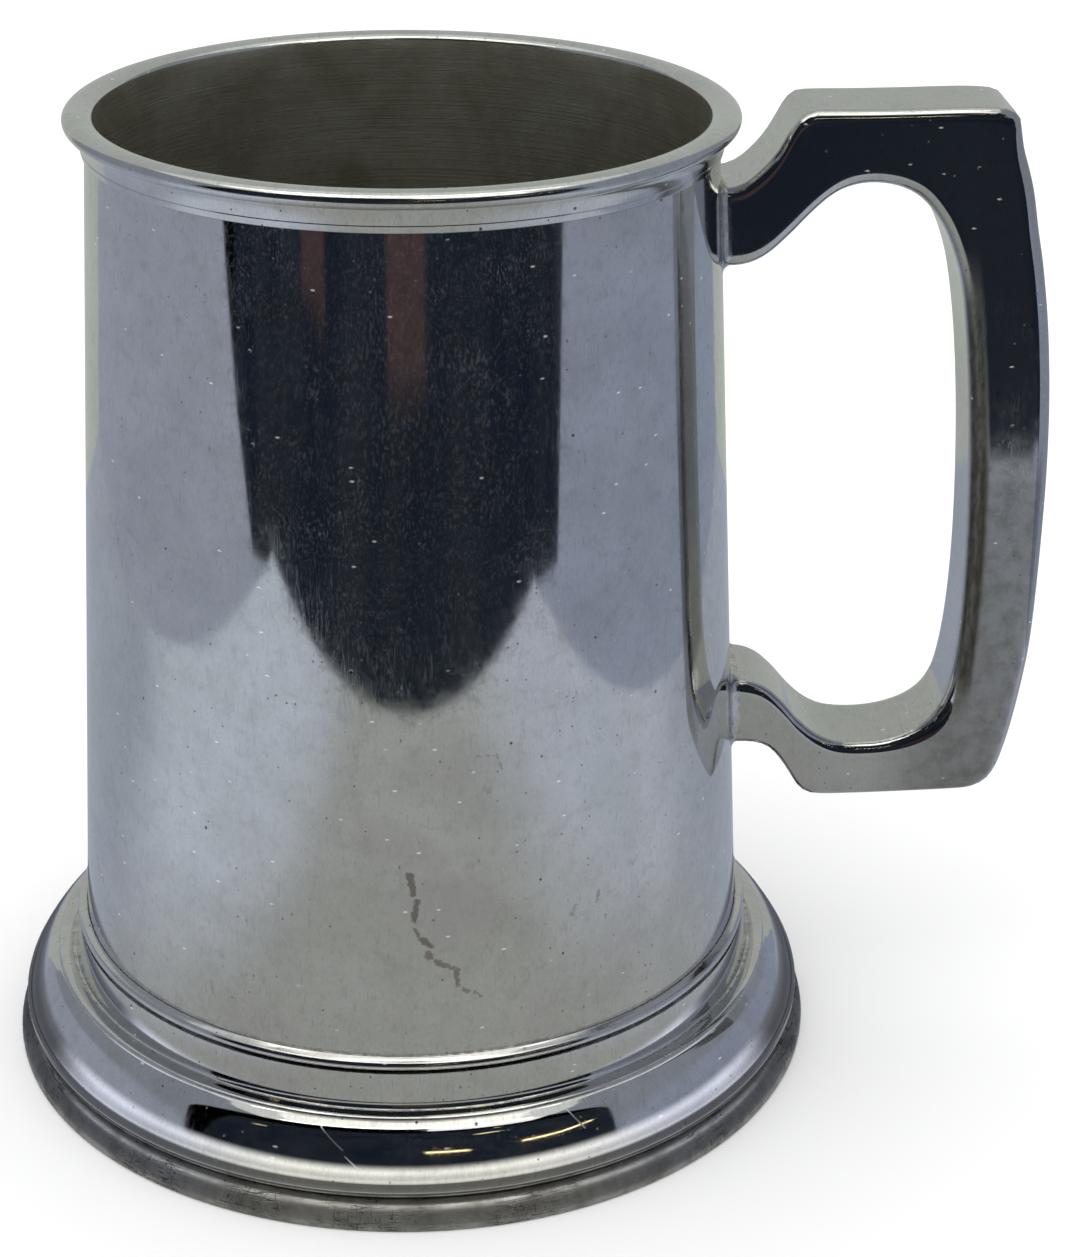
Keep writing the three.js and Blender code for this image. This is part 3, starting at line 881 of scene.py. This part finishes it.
# Front edges of its side walls: depth and height.
LEFT_EDGE = ((-200, 0), (-170, 8), (-140, 42), (-119, 74), (-98, 130), (-85, TENT_TOP))
RIGHT_EDGE = ((-210, 0), (-163, 14), (-153, 46), (-143, 80), (-125, 140), (-110, TENT_TOP))


def sheet_glow():
    """The white sheet under the tankard, bluer towards the sides and the back."""
    f = Finish("sheet under the foot")
    x, y, _ = f.parts(f.place())
    far = f.ramp(f.length(x, y), 90.0, 230.0)
    colour = f.blend(far, (0.385, 0.395, 0.38), (0.42, 0.44, 0.43))
    side = f.ramp(f.math("ABSOLUTE", x), 45.0, 135.0)
    colour = f.blend(side, colour, (0.52, 0.56, 0.65))
    colour = f.blend(f.ramp(x, -130.0, -60.0, 1.0, 0.0), colour, (0.585, 0.64, 0.735))
    colour = f.blend(f.ramp(y, -35.0, 30.0), colour, (0.385, 0.425, 0.5))
    return f.done(f.glowing(colour))


def wall_glow(name, low, high):
    """A side wall: even near the sheet, dimmer higher up."""
    f = Finish(name)
    z = f.parts(f.place())[2]
    return f.done(f.glowing(f.blend(f.ramp(z, 70.0, 105.0), low, high)))


ROOM_Y, ROOM_HALF_W, ROOM_LOW, ROOM_TOP = -900, 1600, -1400, 1800
POSTS = ((-551.0, 101.0), (1.0, 118.0))     # middle and half width
# Lamps far off in the room: ends of each tube, x and height.
LAMPS = ((50, 582, 245, 591), (501, 2329, 589, 1699), (331, 1037, 480, 1095),
         (548, 666, 831, 742), (831, 742, 1217, 924), (-1132, 1187, -1019, 1186))
LAMP_LIGHT = (7.0, 5.4, 2.8)


def room_glow():
    """The dark room in front, with two faint red-brown posts and a few small lamps."""
    f = Finish("dark room")
    x, _, z = f.parts(f.place())
    soft = f.noise(f.place(scale=(0.004, 0.004, 0.004)), 1.0, 3.0)
    colour = f.blend(f.ramp(soft, 0.3, 0.7), (0.009, 0.014, 0.025), (0.021, 0.026, 0.036))
    for mid, half in POSTS:
        away = f.math("ABSOLUTE", f.math("SUBTRACT", x, mid))
        near = f.ramp(away, half * 0.7, half, 0.8, 0.0)
        near = f.math("MULTIPLY", near, f.ramp(z, -122.0, -89.0))
        near = f.math("MULTIPLY", near, f.ramp(z, 150.0, 260.0, 1.0, 0.0))
        colour = f.blend(near, colour, (0.08, 0.05, 0.05))
    for line in LAMPS:
        lit = f.ramp(f.from_line(x, z, *line), 4.0, 8.0, 1.0, 0.0)
        colour = f.blend(lit, colour, LAMP_LIGHT)
    return f.done(f.glowing(colour))


RING_R, RING_TALL = 54.6, 10.4
# Light of the ring: height and level.
RING_LIGHT = ((0.0, 0.24), (4.4, 0.15), (5.8, 0.2), (6.3, 1.1), (7.2, 0.85), (7.9, 1.0),
              (8.6, 1.4), (10.3, 1.3))


def ring_glow():
    """Light beside the foot: cooler at the sides, weaker high up behind, clear at the top."""
    f = Finish("light beside the foot")
    x, y, up = f.parts(f.place())
    ramp = f.node("ShaderNodeValToRGB", {"Fac": f.math("DIVIDE", up, RING_TALL)})
    while len(ramp.color_ramp.elements) < len(RING_LIGHT):
        ramp.color_ramp.elements.new(0.5)
    for element, (z, level) in zip(ramp.color_ramp.elements, RING_LIGHT):
        element.position = z / RING_TALL
        element.color = (level / 2, level / 2, level / 2, 1)
    side = f.ramp(f.math("ABSOLUTE", x), 15.0, 40.0)
    tint = f.blend(side, (1.0, 0.99, 0.93), (0.74, 0.78, 0.93))
    light = f.node("ShaderNodeMix", {0: 1.0, 6: ramp.outputs[0], 7: tint}, data_type="RGBA",
                   blend_type="MULTIPLY").outputs[2]
    fade = f.ramp(y, -33.0, -19.0, 0.0, 1.65)
    strength = f.math("SUBTRACT", 2.0, f.math("MULTIPLY", fade, f.ramp(up, 5.2, 6.0)))
    glowing = f.glowing(light, strength)
    clear = f.node("ShaderNodeBsdfTransparent")
    return f.done(f.node("ShaderNodeMixShader", {
        0: f.ramp(up, 8.7, 10.2), 1: glowing.outputs[0], 2: clear.outputs[0]}))


def ring_card():
    """The light that the sheet throws at the foot: a low band close round it."""
    deselect_all()
    bpy.ops.mesh.primitive_cylinder_add(
        vertices=96, radius=RING_R * MM, depth=RING_TALL * MM, end_fill_type="NOTHING",
        location=(AXIS_X * MM, 0, RING_TALL / 2 * MM))
    ring = bpy.context.object
    ring.name = "ring_card"
    bpy.ops.object.transform_apply(location=True)
    set_finish(ring, ring_glow())
    only_reflected(ring)


def surroundings():
    left, right, back, top = TENT_LEFT, TENT_RIGHT, TENT_BACK, TENT_TOP
    level_card("sheet_card", (left, right), (TENT_FRONT, back), 0.15, sheet_glow())
    card("left_card",
         ((left, back, top), (left, back, 0)) + tuple((left, y, z) for y, z in LEFT_EDGE),
         wall_glow("left wall", (0.362, 0.392, 0.482), (0.27, 0.29, 0.34)))
    card("right_card",
         ((right, back, top), (right, back, 0)) + tuple((right, y, z) for y, z in RIGHT_EDGE),
         wall_glow("right wall", (0.305, 0.342, 0.443), (0.27, 0.295, 0.35)))
    upright_card("back_card", (left, right), back, (0, top),
                 plain_glow("back wall", (0.49, 0.515, 0.49)))
    level_card("top_card", (left, right), (CEILING_FRONT, back), top,
               plain_glow("ceiling", (0.8, 0.82, 0.8)))
    level_card("bright_card", (left + 60, right - 60), (CEILING_FRONT, -10), top - 1,
               plain_glow("bright patch", (1.5, 1.5, 1.42)))
    level_card("front_strip", (15, right - 10), (-165, -101), top,
               plain_glow("ceiling edge", (1.5, 1.5, 1.45)))
    ring_card()
    for y in (-85, 20):
        level_card("strip_card", (left + 40, right - 40), (y - 6, y + 6), top - 2,
                   plain_glow("lamp strip", (1.0, 0.98, 0.9), 6.0))
    upright_card("room_card", (-ROOM_HALF_W, ROOM_HALF_W), ROOM_Y, (ROOM_LOW, ROOM_TOP),
                 room_glow())


def place_camera():
    """Stands the camera in front, looking down at the tankard."""
    pitch, yaw, roll = (math.radians(v) for v in (CAMERA_PITCH, CAMERA_YAW, CAMERA_ROLL))
    ahead = Vector((math.sin(yaw) * math.cos(pitch), math.cos(yaw) * math.cos(pitch),
                    -math.sin(pitch)))
    right = Vector((math.cos(yaw), -math.sin(yaw), 0))
    up = right.cross(ahead)
    across = math.cos(roll) * right - math.sin(roll) * up
    upward = math.sin(roll) * right + math.cos(roll) * up
    bpy.ops.object.camera_add()
    camera = bpy.context.object
    camera.name = "camera"
    camera.data.lens = CAMERA_LENS
    camera.data.sensor_width = CAMERA_SENSOR
    camera.data.clip_start, camera.data.clip_end = 0.01, 20
    x, y, z = CAMERA_PLACE
    place = spot(x, z, y)
    turn = Matrix((across, upward, -ahead)).transposed().to_4x4()
    camera.matrix_world = Matrix.Translation(place) @ turn
    bpy.context.scene.camera = camera


pale_floor()
soft_light()
surroundings()
place_camera()
bpy.context.scene.view_settings.view_transform = "Standard"
deselect_all()
